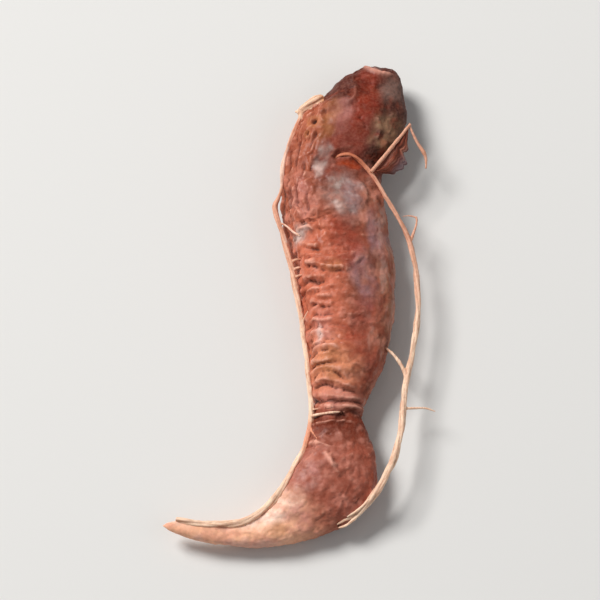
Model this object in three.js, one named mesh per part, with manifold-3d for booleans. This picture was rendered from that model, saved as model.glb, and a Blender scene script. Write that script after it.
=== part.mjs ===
// A shelled tamarind pod lying on its broad side: the dried pulp, blunt at the stem end and drawn out to a
// thin curved tail, and the two pale strings that run along its edges.
// Millimetres, +Z up, the stem end towards +Y and the tail towards -X. The part's origin is on the surface
// that the pod lies on, under the middle of its box.

import * as THREE from "three";
import { mergeVertices } from "three/addons/utils/BufferGeometryUtils.js";
import Module from "manifold-3d";

const wasm = await Module();
wasm.setup();

// Driving dimensions
const PULP_SIDES = 30; // corners of one cross-section of the pulp
const RING_STEP = 1.3; // distance between cross-sections where the pulp is smooth
const FINE_STEP = 0.85; // and where it is wrinkled
const WRINKLE_PITCH = 2.9; // from one cross wrinkle to the next, on average
const WRINKLE_HEIGHT = 0.36;
const FURROW_DEPTH = 0.5; // of the long furrow beside the head's left edge
const LUMP_HEIGHT = 0.28; // low dents and lumps of the dried skin
const SWELL_HEIGHT = 0.55; // how far the skin bulges over a seed
const SEED_REACH = 5.2; // half the length of such a bulge
const SLUMP = 0.23; // how far the lower left side has sagged outwards under the left string, by the thickness
const FULL_THICKNESS = 6; // where the pod is thinner than this, its relief is lower in proportion
const FULLNESS = 0.82; // below 1 the cross-section is fuller than an ellipse
const LEAN = 0.13; // how much higher the left shoulder of a cross-section is than the right
const STRING_RADIUS = 0.62;
const STRING_SIDES = 8;
const STRING_STEP = 1.5;
const STRING_END = 0.7; // a string's radius at its ends, as a share of that in its middle
const STRING_KNOTS = 0.08; // how much the radius varies from step to step
const BRANCH_RADIUS = 0.38;
const BRANCH_SIDES = 6;
const SEAT_GAP = 0.3; // between a string and the pulp that it is bedded in

// The outline from the stem end to the tip of the tail: the left and right edge as [x, y], the thickness
// there, and how high the underside is over the ground. Where that is negative the pod is flattened by lying
// on it.
const OUTLINE = [
  { left: [5.6, 48.2], right: [5.8, 48.2], thick: 0.2, lift: 5.0 },
  { left: [2.0, 47.0], right: [9.2, 47.3], thick: 4.6, lift: 3.0 },
  { left: [-1.0, 45.0], right: [10.6, 45.3], thick: 7.0, lift: 2.0 },
  { left: [-4.4, 41.6], right: [11.2, 41.7], thick: 8.8, lift: 1.0 },
  { left: [-8.0, 37.3], right: [11.4, 36.8], thick: 10.2, lift: 0.4 },
  { left: [-10.0, 32.3], right: [9.9, 31.4], thick: 10.6, lift: 0.2 },
  { left: [-10.9, 27.2], right: [6.9, 26.6], thick: 10.2, lift: 0.3 },
  { left: [-10.9, 21.5], right: [7.0, 21.2], thick: 11.0, lift: 0.0 },
  { left: [-9.8, 14.3], right: [8.2, 14.3], thick: 11.7, lift: -0.5 },
  { left: [-8.6, 7.2], right: [9.1, 7.2], thick: 11.6, lift: -0.6 },
  { left: [-7.5, 0.0], right: [9.2, 0.0], thick: 11.3, lift: -0.5 },
  { left: [-6.7, -5.7], right: [8.4, -6.1], thick: 10.5, lift: -0.2 },
  { left: [-6.2, -11.5], right: [6.9, -11.8], thick: 9.2, lift: 0.3 },
  { left: [-5.6, -17.2], right: [4.5, -17.2], thick: 7.2, lift: 1.1 },
  { left: [-5.3, -21.9], right: [2.9, -22.1], thick: 6.0, lift: 1.4 },
  { left: [-6.6, -26.5], right: [4.5, -26.5], thick: 6.8, lift: 0.8 },
  { left: [-8.9, -31.3], right: [5.4, -32.0], thick: 8.2, lift: -0.1 },
  { left: [-11.2, -35.2], right: [4.7, -37.0], thick: 8.4, lift: -0.5 },
  { left: [-13.9, -39.0], right: [1.6, -40.8], thick: 7.2, lift: -0.4 },
  { left: [-17.0, -41.5], right: [-4.6, -44.2], thick: 5.8, lift: 0.0 },
  { left: [-20.6, -42.7], right: [-14.0, -46.4], thick: 4.5, lift: 0.6 },
  { left: [-24.3, -42.9], right: [-22.4, -46.3], thick: 3.7, lift: 1.4 },
  { left: [-28.6, -42.7], right: [-28.6, -45.1], thick: 3.0, lift: 2.3 },
  { left: [-32.2, -42.0], right: [-32.6, -43.9], thick: 2.0, lift: 3.2 },
  { left: [-34.0, -42.6], right: [-34.0, -42.9], thick: 0.2, lift: 4.2 },
];
const WRINKLED = { from: -30, to: 22, soft: 4 }; // y of the cross-wrinkled stretch, and how softly it ends
const FURROWED = { from: 24, to: 44, soft: 3 }; // y of the head's furrow
const SLUMPED = { from: -28, to: 30, soft: 5 }; // y of the sagged side
const SEEDS_AT = [35, 19, 4.5, -11, -34]; // y of the seeds under the skin

// Parts of a cross-section by the angle round it: 0 is right, a quarter turn is up and a half turn is left.
const LEFT_FLANK = { from: 1.75, to: 4.3, soft: 0.5 };
const HEAD_EDGE = { from: 2.35, to: 2.75, soft: 0.22 };
const LOWER_LEFT = { from: 3.4, to: 4.3, soft: 0.4 };

// The strings' courses. A point is [x, y, z], or on(x, y, above) where the string lies on the pulp: its
// centre is then that far above the skin, or below it where the string goes in.
const on = (x, y, above) => ({ x, y, above });
const LEFT_COURSE = [
  [-5.6, 40.3, 6.3],
  [-7.5, 38.9, 6.6],
  [-8.9, 36.3, 6.9],
  [-10.7, 31.5, 6.4],
  [-11.8, 27.2, 6.0],
  [-12.2, 23.6, 5.6],
  [-13.3, 19.5, 5.6],
  [-12.5, 15.5, 5.7],
  [-11.1, 10.5, 5.8],
  [-10.0, 5.5, 5.8],
  [-9.0, 0.4, 5.6],
  [-8.1, -5.3, 5.4],
  [-7.4, -11.0, 5.2],
  [-6.8, -16.8, 5.0],
  [-6.6, -22.2, 4.9],
  [-7.6, -27.2, 5.1],
  [-9.9, -32.3, 5.4],
  [-12.7, -37.0, 5.4],
  [-16.2, -40.7, 5.0],
  [-20.4, -42.5, 4.7],
  [-26.3, -42.7, 4.9],
  [-31.6, -41.9, 5.3],
];
const RIGHT_COURSE = [
  on(-2.3, 27.9, -0.9),
  on(-0.9, 28.4, 0.1),
  on(1.3, 28.2, 0.4),
  on(3.9, 26.0, 0.5),
  [7.1, 20.8, 9.0],
  [9.9, 16.1, 7.6],
  [11.9, 11.6, 6.9],
  [13.0, 5.5, 6.4],
  [13.3, -0.7, 6.2],
  [12.6, -7.2, 6.1],
  [11.5, -12.9, 6.1],
  [10.5, -19.4, 6.2],
  [9.8, -25.8, 6.4],
  [8.3, -31.5, 6.9],
  [5.9, -36.1, 6.7],
  [4.2, -38.4, 5.5],
  [2.1, -40.6, 4.4],
  [0.1, -41.9, 4.1],
  [-2.1, -42.6, 3.6],
];
const FORK_COURSE = [
  [4.6, 25.0, 9.8],
  [6.7, 27.4, 10.1],
  [8.7, 30.1, 9.9],
  [12.1, 35.0, 8.8],
  [13.5, 31.5, 7.8],
  [14.9, 29.5, 7.0],
  [15.0, 27.1, 6.4],
];

// Short side branches, each from its string outwards.
const LEFT_BRANCHES = [
  [[-6.7, -21.9, 4.9], [-5.9, -22.0, 6.3], on(-4.2, -22.0, 0.2), on(-2.4, -21.9, 0.1), on(-0.9, -21.7, -0.4)],
  [[-10.6, 8.1, 5.8], [-9.7, 8.6, 6.2], [-7.9, 8.7, 6.3]],
  [[-10.2, 6.5, 5.8], [-9.3, 7.0, 6.2], [-7.6, 7.1, 6.3]],
  [[-9.9, 5.0, 5.8], [-9.0, 5.5, 6.2], [-7.3, 5.6, 6.3]],
];
const RIGHT_BRANCHES = [
  [[11.6, -12.6, 6.1], [9.4, -10.6, 6.4], [7.0, -9.0, 6.3], [5.6, -8.4, 6.2]],
  [[10.5, -19.6, 6.2], [13.4, -20.4, 5.6], [16.6, -20.6, 5.0]],
];

// The pale knob at the left shoulder where the left string starts: half its size each way, and its turn
// about Z.
const KNOB = { place: [-6.5, 40.3, 6.6], half: [3.0, 1.2, 1.1], turn: Math.PI / 6 };
const KNOB_SIDES = 10;

// The torn scrap of dried skin that hangs in the fork: a thin blade with three corners and a bowed edge.
const SCRAP = {
  low: [5.6, 25.1],
  inner: [8.2, 29.2],
  top: [11.5, 34.0],
  outer: [9.8, 26.6],
  bows: [
    [11.7, 29.6],
    [7.8, 24.0],
  ],
  height: 9.0,
  thick: 0.8,
};

// Ripple of a surface that dried unevenly: a few sines that never repeat together, between -1 and 1.
function unevenness(along, round) {
  return (
    0.45 * Math.sin(0.62 * along + 1.7 * Math.sin(round + 0.4)) +
    0.3 * Math.sin(1.13 * along - 2 * round + 1.1) +
    0.25 * Math.cos(0.37 * along + 3 * round + 2.0)
  );
}

// 1 inside the span and 0 outside it, with soft ends.
function inside(value, { from, to, soft }) {
  return (
    THREE.MathUtils.smoothstep(value, from - soft, from + soft) *
    (1 - THREE.MathUtils.smoothstep(value, to - soft, to + soft))
  );
}

// A cross wrinkle: its phase wanders along and round the pod and its strength comes and goes, so that no two
// wrinkles are alike.
function wrinkle(along, round) {
  const strength = 0.6 + 0.4 * Math.sin(0.83 * along + 2.2 * round);
  const phase =
    (2 * Math.PI * (along + 0.8 * Math.sin(2 * round))) / WRINKLE_PITCH +
    1.5 * Math.sin(0.41 * along) +
    0.8 * Math.sin(0.97 * along + 1.4 * round);
  return strength * Math.sin(phase);
}

// How far the skin stands out at a place: along is the distance from the stem end, round the angle in the
// cross-section, and y the place along the pod.
function relief(along, round, y, thick) {
  const wrinkles = WRINKLE_HEIGHT * wrinkle(along, round) * inside(y, WRINKLED) * inside(round, LEFT_FLANK);
  const furrow = FURROW_DEPTH * inside(y, FURROWED) * inside(round, HEAD_EDGE);
  const lumps = LUMP_HEIGHT * unevenness(along, round);
  const overSeeds = SEEDS_AT.reduce((sum, seed) => sum + Math.exp(-(((y - seed) / SEED_REACH) ** 2)), 0);
  const swelling = SWELL_HEIGHT * (overSeeds - 0.5) * Math.abs(Math.sin(round));
  return Math.min(1, thick / FULL_THICKNESS) * (wrinkles - furrow + lumps + swelling);
}

// A closed mesh through rings of points, each ring going round the same way, with a fan on each end.
function loft(rings) {
  const sides = rings[0].length;
  const positions = rings.flat().flatMap((p) => [p.x, p.y, p.z]);
  const index = [];
  for (let i = 0; i + 1 < rings.length; i++)
    for (let j = 0; j < sides; j++) {
      const a = i * sides + j;
      const b = i * sides + ((j + 1) % sides);
      index.push(a, b, b + sides, a, b + sides, a + sides);
    }
  for (const [ring, turned] of [[0, true], [rings.length - 1, false]]) {
    const centre = rings[ring].reduce((sum, p) => sum.add(p), new THREE.Vector3()).divideScalar(sides);
    const middle = positions.length / 3;
    positions.push(centre.x, centre.y, centre.z);
    for (let j = 0; j < sides; j++) {
      const a = ring * sides + j;
      const b = ring * sides + ((j + 1) % sides);
      index.push(...(turned ? [middle, b, a] : [middle, a, b]));
    }
  }
  return new THREE.BufferGeometry()
    .setAttribute("position", new THREE.Float32BufferAttribute(positions, 3))
    .setIndex(index);
}

function solidOf(geometry) {
  const merged = mergeVertices(geometry, 1e-4);
  return new wasm.Manifold(
    new wasm.Mesh({
      numProp: 3,
      vertProperties: new Float32Array(merged.attributes.position.array),
      triVerts: new Uint32Array(merged.index.array),
    }),
  );
}

function geometryOf(solid) {
  const mesh = solid.getMesh();
  return new THREE.BufferGeometry()
    .setAttribute("position", new THREE.BufferAttribute(mesh.vertProperties, 3))
    .setIndex(new THREE.BufferAttribute(mesh.triVerts, 1));
}

// A curve through one quantity of the outline's stations.
const through = (pick) => new THREE.CatmullRomCurve3(OUTLINE.map(pick));
const leftEdge = through((s) => new THREE.Vector3(...s.left, 0));
const rightEdge = through((s) => new THREE.Vector3(...s.right, 0));
const heights = through((s) => new THREE.Vector3(s.thick, s.lift, 0));

// The places of the cross-sections: evenly spaced along the middle line, closer at the blunt stem end and
// where the skin is wrinkled.
function crossSections() {
  const SAMPLES = 4000; // steps in which the middle line is walked
  const BLUNT_END = 4; // length of the stem end
  const middle = (t) => leftEdge.getPoint(t).add(rightEdge.getPoint(t)).multiplyScalar(0.5);
  const places = [];
  let along = 0;
  let next = 0;
  let last = middle(0);
  for (let i = 0; i <= SAMPLES; i++) {
    const here = middle(i / SAMPLES);
    along += here.distanceTo(last);
    last = here;
    if (along >= next || i === SAMPLES) {
      places.push({ t: i / SAMPLES, along });
      const fine = along < BLUNT_END || (here.y > WRINKLED.from && here.y < WRINKLED.to);
      next = along + (fine ? FINE_STEP : RING_STEP);
    }
  }
  return places;
}

// One cross-section of the pulp: a fuller-than-round oval between the edges, with the skin's relief on it.
function pulpRing({ t, along }) {
  const left = leftEdge.getPoint(t);
  const right = rightEdge.getPoint(t);
  const { x: thick, y: lift } = heights.getPoint(t);
  const centre = left.clone().add(right).multiplyScalar(0.5);
  const across = right.clone().sub(left);
  const halfWidth = across.length() / 2;
  across.normalize();
  const ring = [];
  for (let j = 0; j < PULP_SIDES; j++) {
    const round = (2 * Math.PI * j) / PULP_SIDES;
    const u = Math.sign(Math.cos(round)) * Math.abs(Math.cos(round)) ** FULLNESS;
    const v = Math.sign(Math.sin(round)) * Math.abs(Math.sin(round)) ** FULLNESS;
    const lean = v > 0 ? 1 - LEAN * u : 1;
    const out = relief(along, round, centre.y, thick);
    const slump = SLUMP * thick * inside(centre.y, SLUMPED) * inside(round, LOWER_LEFT);
    const point = centre.clone().addScaledVector(across, halfWidth * u + out * Math.cos(round) - slump);
    point.z = lift + (thick / 2) * (1 + v * lean) + out * Math.sin(round);
    ring.push(point);
  }
  return ring;
}

// The pulp before the strings are bedded in it, flat where it lies on the ground.
const barePulp = solidOf(loft(crossSections().map(pulpRing))).trimByPlane([0, 0, 1], 0);
const skin = new THREE.Mesh(geometryOf(barePulp));
skin.material.side = THREE.DoubleSide;

// A course's points in space: those that lie on the pulp take their height from its skin.
function placed(course) {
  const FAR_ABOVE = 50;
  const down = new THREE.Vector3(0, 0, -1);
  return course.map((p) => {
    if (Array.isArray(p)) return new THREE.Vector3(...p);
    const hit = new THREE.Raycaster(new THREE.Vector3(p.x, p.y, FAR_ABOVE), down).intersectObject(skin)[0];
    if (!hit) throw new Error(`no pulp under ${p.x}, ${p.y}`);
    return new THREE.Vector3(p.x, p.y, hit.point.z + p.above);
  });
}

// A round string along a course, of the given radius in its middle and thinner towards its ends. Extra is
// added to the radius for the bed that the string lies in, here and below.
function stringAlong(course, radius, sides, extra) {
  const curve = new THREE.CatmullRomCurve3(placed(course));
  const steps = Math.max(3, Math.ceil(curve.getLength() / STRING_STEP));
  const frames = curve.computeFrenetFrames(steps);
  const rings = [];
  for (let i = 0; i <= steps; i++) {
    const centre = curve.getPointAt(i / steps);
    const taper = STRING_END + (1 - STRING_END) * Math.sqrt(Math.sin((Math.PI * i) / steps));
    const r = radius * taper * (1 + STRING_KNOTS * Math.sin(1.9 * i)) + extra;
    const ring = [];
    for (let j = 0; j < sides; j++) {
      const a = (2 * Math.PI * j) / sides;
      ring.push(
        centre
          .clone()
          .addScaledVector(frames.normals[i], r * Math.cos(a))
          .addScaledVector(frames.binormals[i], r * Math.sin(a)),
      );
    }
    rings.push(ring);
  }
  return solidOf(loft(rings));
}

const mainString = (course, extra) => stringAlong(course, STRING_RADIUS, STRING_SIDES, extra);
const branch = (course, extra) => stringAlong(course, BRANCH_RADIUS, BRANCH_SIDES, extra);

function knob(extra) {
  const [x, y, z] = KNOB.half.map((half) => half + extra);
  const ball = new THREE.SphereGeometry(1, KNOB_SIDES, KNOB_SIDES - 3).scale(x, y, z);
  ball.deleteAttribute("normal");
  ball.deleteAttribute("uv");
  return solidOf(ball.rotateZ(KNOB.turn).translate(...KNOB.place));
}

function scrap(extra) {
  const outline = new THREE.Shape()
    .moveTo(...SCRAP.low)
    .lineTo(...SCRAP.inner)
    .lineTo(...SCRAP.top)
    .quadraticCurveTo(...SCRAP.bows[0], ...SCRAP.outer)
    .quadraticCurveTo(...SCRAP.bows[1], ...SCRAP.low);
  const blade = new THREE.ExtrudeGeometry(outline, {
    depth: SCRAP.thick + 2 * extra,
    bevelEnabled: false,
    curveSegments: 5,
  });
  blade.deleteAttribute("normal");
  blade.deleteAttribute("uv");
  return solidOf(blade.translate(0, 0, SCRAP.height - extra));
}

// The left string with its knob and branches, and the right string with its fork, scrap and branches.
function leftString(extra = 0) {
  return [knob(extra), ...LEFT_BRANCHES.map((course) => branch(course, extra))].reduce(
    (sum, solid) => sum.add(solid),
    mainString(LEFT_COURSE, extra),
  );
}

function rightString(extra = 0) {
  return [scrap(extra), ...[FORK_COURSE, ...RIGHT_BRANCHES].map((course) => branch(course, extra))].reduce(
    (sum, solid) => sum.add(solid),
    mainString(RIGHT_COURSE, extra),
  );
}

// Only the largest body of a solid, without the scraps that a cut leaves.
function largest(solid) {
  return solid.decompose().reduce((best, s) => (s.volume() > best.volume() ? s : best));
}

const PULP_FINISH = new THREE.MeshStandardMaterial({ color: 0x7a3a26, roughness: 0.5, metalness: 0 });
const STRING_FINISH = new THREE.MeshStandardMaterial({ color: 0xd9a46c, roughness: 0.65, metalness: 0 });

const pod = new THREE.Group();
function addPiece(name, solid, finish) {
  const mesh = new THREE.Mesh(geometryOf(solid), finish);
  mesh.name = name;
  pod.add(mesh);
}

const beds = leftString(SEAT_GAP).add(rightString(SEAT_GAP));
addPiece("pulp", largest(barePulp.subtract(beds)), PULP_FINISH);
addPiece("left_string", leftString(), STRING_FINISH);
addPiece("right_string", rightString(), STRING_FINISH);

// The origin goes under the middle of the box.
const box = new THREE.Box3().setFromObject(pod);
pod.position.set(-(box.min.x + box.max.x) / 2, -(box.min.y + box.max.y) / 2, -box.min.z);

export default pod;
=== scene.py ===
# %% [markdown]
# # A shelled tamarind pod
# The brittle shell of this pod has been cracked off. What is left is the dried pulp, a red-brown and
# slightly sticky paste with a leathery skin, and the tough pale strings that once fed it, one along
# each edge. The solid model already has the pod's size, its waist, its tail and the courses of its
# strings. This lesson gives it its surface, so it starts from that model and never moves it.

# %% Load the solid model
import math

import bpy
import numpy as np
from mathutils import Matrix, Vector, kdtree, noise
from mathutils.bvhtree import BVHTree


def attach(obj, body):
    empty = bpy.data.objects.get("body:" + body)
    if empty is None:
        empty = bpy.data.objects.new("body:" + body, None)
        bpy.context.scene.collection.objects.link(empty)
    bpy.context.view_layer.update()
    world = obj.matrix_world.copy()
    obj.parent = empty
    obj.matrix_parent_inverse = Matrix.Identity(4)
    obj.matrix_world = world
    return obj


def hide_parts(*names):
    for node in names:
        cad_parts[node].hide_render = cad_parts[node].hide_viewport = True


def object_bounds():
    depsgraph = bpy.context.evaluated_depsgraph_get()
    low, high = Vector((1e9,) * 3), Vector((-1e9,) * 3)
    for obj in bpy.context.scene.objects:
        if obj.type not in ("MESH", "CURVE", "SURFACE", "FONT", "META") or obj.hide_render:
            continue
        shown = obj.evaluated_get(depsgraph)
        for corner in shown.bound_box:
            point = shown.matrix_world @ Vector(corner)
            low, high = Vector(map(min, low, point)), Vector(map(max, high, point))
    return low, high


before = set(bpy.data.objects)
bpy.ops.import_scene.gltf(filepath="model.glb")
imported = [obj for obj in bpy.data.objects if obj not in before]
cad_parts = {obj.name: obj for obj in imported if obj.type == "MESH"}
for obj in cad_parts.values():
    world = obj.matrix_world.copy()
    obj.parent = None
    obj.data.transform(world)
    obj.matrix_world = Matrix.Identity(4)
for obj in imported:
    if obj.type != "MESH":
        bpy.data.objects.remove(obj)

MM = 0.001  # one millimetre in Blender's metres
cad_low, cad_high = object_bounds()
print("solid model, mm:", [round((high - low) / MM, 1) for low, high in zip(cad_low, cad_high)])

# %% [markdown]
# ## Camera
# The photograph looks steeply down on the pod, from the side of its tail. A long lens keeps the two
# ends at one scale, as they are there. The camera is made first, so that every later step can be judged
# through it.

# %% Camera
ELEVATION = math.radians(70)
LENS = 300.0  # focal length, mm
SENSOR = 36.0  # sensor width, mm
VIEW_HEIGHT = 112.0  # mm from the top to the bottom of the picture
CLIP_START = 10  # mm before the lens

middle = (cad_low + cad_high) / 2
distance = VIEW_HEIGHT * LENS / SENSOR * MM
camera_place = middle + distance * Vector((0, -math.cos(ELEVATION), math.sin(ELEVATION)))
bpy.ops.object.camera_add(location=camera_place, rotation=(math.pi / 2 - ELEVATION, 0, 0))
camera = bpy.context.object
camera.data.lens = LENS
camera.data.sensor_width = SENSOR
camera.data.clip_start = CLIP_START * MM
bpy.context.scene.camera = camera
print("camera is", round(distance / MM), "mm away")

# %% [markdown]
# ## Small helpers
# Blender's operators act on whatever is selected, and the model arrives selected. So one helper selects
# single pieces, and those that add a modifier or shade a piece smooth call it first. Two read and write
# all the points of a mesh, in mm. One gathers surfaces to measure from, and the last two turn a
# distance into a soft share.

# %% Small helpers
def only(*pieces):
    """Selects these pieces and nothing else. The first is the active one."""
    bpy.ops.object.select_all(action="DESELECT")
    for piece in pieces:
        piece.select_set(True)
    bpy.context.view_layer.objects.active = pieces[0] if pieces else None


def apply_modifier(piece, kind, **settings):
    """Adds a modifier to the piece and applies it."""
    only(piece)
    modifier = piece.modifiers.new(kind.lower(), kind)
    for name, value in settings.items():
        setattr(modifier, name, value)
    bpy.ops.object.modifier_apply(modifier=modifier.name)


def shade_smooth(piece):
    """Shades the piece as one smooth surface, without its faces' edges."""
    only(piece)
    bpy.ops.object.shade_smooth()


def points_of(piece, what="co"):
    """The piece's points in mm, or its point normals."""
    values = np.empty(3 * len(piece.data.vertices), np.float32)
    piece.data.vertices.foreach_get(what, values)
    return values.reshape(-1, 3).astype(float) / (MM if what == "co" else 1)


def move_points(piece, points):
    """Puts the piece's points at these places, in mm."""
    piece.data.vertices.foreach_set("co", (points * MM).astype(np.float32).ravel())
    piece.data.update()


def surface_of(*pieces):
    """The surface of these pieces together, for casting rays at it and measuring how near it is."""
    corners, faces = [], []
    for piece in pieces:
        faces += [[len(corners) + v for v in face.vertices] for face in piece.data.polygons]
        corners += [v.co.copy() for v in piece.data.vertices]
    return BVHTree.FromPolygons(corners, faces)


def step(values, low, high):
    """0 below low, 1 above high, and a soft step between."""
    t = np.clip((values - low) / (high - low), 0, 1)
    return t * t * (3 - 2 * t)


def band(values, low, high, soft):
    """1 between low and high, 0 outside, with soft ends."""
    return step(values, low - soft, low + soft) * (1 - step(values, high - soft, high + soft))


# %% [markdown]
# ## Material helpers
# Colours are written as the sRGB hex values that a picture program shows. Blender's sockets want linear
# light, so one function turns one into the other. Large differences of colour are painted on a piece's
# points in layers, and the material reads them and adds what is finer than the points. One function
# adds a node of any kind to a material with its settings and its inputs, where an input is either a
# plain value or the output of another node. Another lays a tint over a colour by a pattern.

# %% Material helpers
STREAK = 0.12  # coordinates along a fibre are shortened to this share, which draws its noise out lengthwise
SOFT_STEP = {"interpolation_type": "SMOOTHSTEP"}  # for the node that moves a value from one range to another
PAINTED = {"attribute_name": "painted"}  # for the node that reads a piece's painted colours
FIBRE_PLACE = {"attribute_name": "fibre_place"}  # and its coordinates along its fibres


def colour(hex_code):
    """An sRGB hex colour as linear light."""
    shares = [int(hex_code[i : i + 2], 16) / 255 for i in (1, 3, 5)]
    return tuple(s / 12.92 if s <= 0.04045 else ((s + 0.055) / 1.055) ** 2.4 for s in shares) + (1,)


def lay_on(colours, hex_code, cover):
    """Lays a colour over the points' colours. Cover is 0 where they show and 1 where it hides them."""
    cover = np.clip(cover, 0, 1)[:, None]
    return colours * (1 - cover) + np.array(colour(hex_code)) * cover


def paint(piece, layers):
    """Stores one colour a point on the piece. A layer is a hex colour and its cover, the lowest first."""
    colours = np.zeros((len(piece.data.vertices), 4))
    for hex_code, cover in layers:
        colours = lay_on(colours, hex_code, cover)
    attribute = piece.data.attributes.new("painted", "FLOAT_COLOR", "POINT")
    attribute.data.foreach_set("color", colours.astype(np.float32).ravel())


def give_coordinates(piece, places):
    """Stores coordinates in mm on the piece's points. The first one runs along its fibres."""
    attribute = piece.data.attributes.new("fibre_place", "FLOAT_VECTOR", "POINT")
    attribute.data.foreach_set("vector", places.astype(np.float32).ravel())


def add_node(tree, kind, settings=None, **inputs):
    """Adds a node. An input's name has _ for a space, or is in_ and its number. Its value may be a node."""
    node = tree.nodes.new(kind)
    for name, value in (settings or {}).items():
        setattr(node, name, value)
    for name, value in inputs.items():
        key = int(name[3:]) if name.startswith("in_") else name.replace("_", " ")
        if isinstance(value, bpy.types.Node):
            value = value.outputs[0]
        if isinstance(value, bpy.types.NodeSocket):
            tree.links.new(value, node.inputs[key])
        else:
            node.inputs[key].default_value = value
    return node


def new_material(name, **surface):
    """A material with an empty tree but for its surface, whose constant values are set here."""
    material = bpy.data.materials.new(name)
    material.use_nodes = True
    tree = material.node_tree
    shader = tree.nodes["Principled BSDF"]
    for socket, value in surface.items():
        shader.inputs[socket.replace("_", " ")].default_value = value
    return material, tree, shader


def tinted(tree, base, pattern, span, covers, hex_code):
    """A colour with a tint over it. Its cover goes from one value to another over a span of the pattern."""
    share = add_node(
        tree, "ShaderNodeMapRange", SOFT_STEP, Value=pattern,
        From_Min=span[0], From_Max=span[1], To_Min=covers[0], To_Max=covers[1],
    )
    tint = colour(hex_code)
    mixed = add_node(tree, "ShaderNodeMix", {"data_type": "RGBA"}, in_0=share, in_6=base, in_7=tint)
    return mixed.outputs[2]


# %% [markdown]
# ## Smooth lines
# The pod's middle line and the courses of its strings are given by a few points each. One function runs
# a smooth curve through them and walks it in even steps. Its points may carry more than a place, such
# as a radius, which is then smoothed along with it.

# %% Smooth lines
CURVE_STEPS = 24  # short straight steps from one given point to the next


def smooth_line(points, spacing):
    """Points this far apart on a smooth curve through the given ones, and how far along it each is."""
    given = np.array(points, float)
    ends = np.vstack([2 * given[0] - given[1], given, 2 * given[-1] - given[-2]])
    t = np.linspace(0, 1, CURVE_STEPS, endpoint=False)[:, None]
    spans = []
    for a, b, c, d in zip(ends, ends[1:], ends[2:], ends[3:]):
        bend, swing = 2 * a - 5 * b + 4 * c - d, 3 * b - a - 3 * c + d
        spans.append(0.5 * (2 * b + (c - a) * t + bend * t**2 + swing * t**3))
    line = np.vstack([*spans, given[-1:]])
    reached = np.concatenate([[0], np.cumsum(np.linalg.norm(np.diff(line[:, :3], axis=0), axis=1))])
    distances = np.linspace(0, reached[-1], max(2, round(reached[-1] / spacing) + 1))
    return np.column_stack([np.interp(distances, reached, values) for values in line.T]), distances


def directions(line):
    """The direction of a line at each of its points."""
    ways = np.gradient(line, axis=0)
    return ways / np.linalg.norm(ways, axis=1)[:, None]


# %% [markdown]
# ## The strings' courses
# Each string is one of the pod's own fibre bundles. The left one starts in a knob at the stem end and
# lies on the skin. The right one comes out of the pulp, stands free in a long bow and goes back in at
# the tail. Both are thickest near the tail. A course could be drawn by hand as a curve, but a list of
# points with the string's radius at each is easier to compare with the photograph. Short side fibres
# leave the strings here and there, some of them with a forked or curled end, and are given in the same
# way.

# %% The strings' courses
LEFT_STRING = [  # x, y, z and radius, mm
    (4.2, 39.9, 7.7, 0.4), (2.2, 38.8, 7.5, 0.8), (0.6, 37.6, 7.1, 0.6), (0.0, 36.2, 6.9, 0.46),
    (-0.7, 34.3, 6.9, 0.46), (-2.2, 30.5, 6.6, 0.52), (-3.2, 26.4, 6.2, 0.54), (-3.4, 22.8, 5.7, 0.4),
    (-4.1, 20.5, 5.6, 0.4), (-4.7, 19.1, 5.6, 0.54), (-4.5, 17.4, 5.6, 0.52), (-3.8, 14.7, 5.7, 0.5),
    (-2.4, 9.7, 5.8, 0.58), (-1.3, 4.7, 5.8, 0.66), (-0.3, -0.4, 5.6, 0.6), (0.6, -6.1, 5.4, 0.55),
    (1.3, -11.8, 5.2, 0.55), (1.9, -17.6, 5.0, 0.6), (2.1, -23.0, 4.9, 0.62), (1.1, -28.0, 5.1, 0.6),
    (-1.2, -33.1, 5.4, 0.66), (-4.0, -37.8, 5.4, 0.72), (-7.5, -41.5, 5.1, 0.72),
    (-11.7, -43.3, 4.9, 0.72), (-17.6, -43.5, 5.0, 0.66), (-22.9, -42.7, 5.2, 0.42),
]
RIGHT_STRING = [  # the same
    (5.8, 26.6, 8.8, 0.3), (6.6, 27.1, 9.4, 0.34), (7.9, 27.6, 9.8, 0.36), (10.0, 27.3, 9.75, 0.4),
    (12.6, 25.2, 8.9, 0.44), (15.8, 20.0, 8.7, 0.44), (18.6, 15.3, 7.6, 0.46), (20.6, 10.8, 6.9, 0.52),
    (21.7, 4.7, 6.4, 0.58), (22.0, -1.5, 6.2, 0.62), (21.3, -8.0, 6.1, 0.62), (20.2, -13.7, 6.1, 0.6),
    (19.4, -18.1, 6.2, 0.7), (19.2, -20.2, 6.2, 0.62), (18.8, -25.1, 6.4, 0.74),
    (18.5, -26.6, 6.4, 0.68), (17.0, -32.3, 6.8, 0.74), (14.6, -36.9, 6.7, 0.74),
    (12.9, -39.2, 5.6, 0.68), (10.8, -41.4, 4.6, 0.6), (8.8, -42.7, 4.3, 0.5), (6.9, -43.5, 3.9, 0.26),
]
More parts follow.
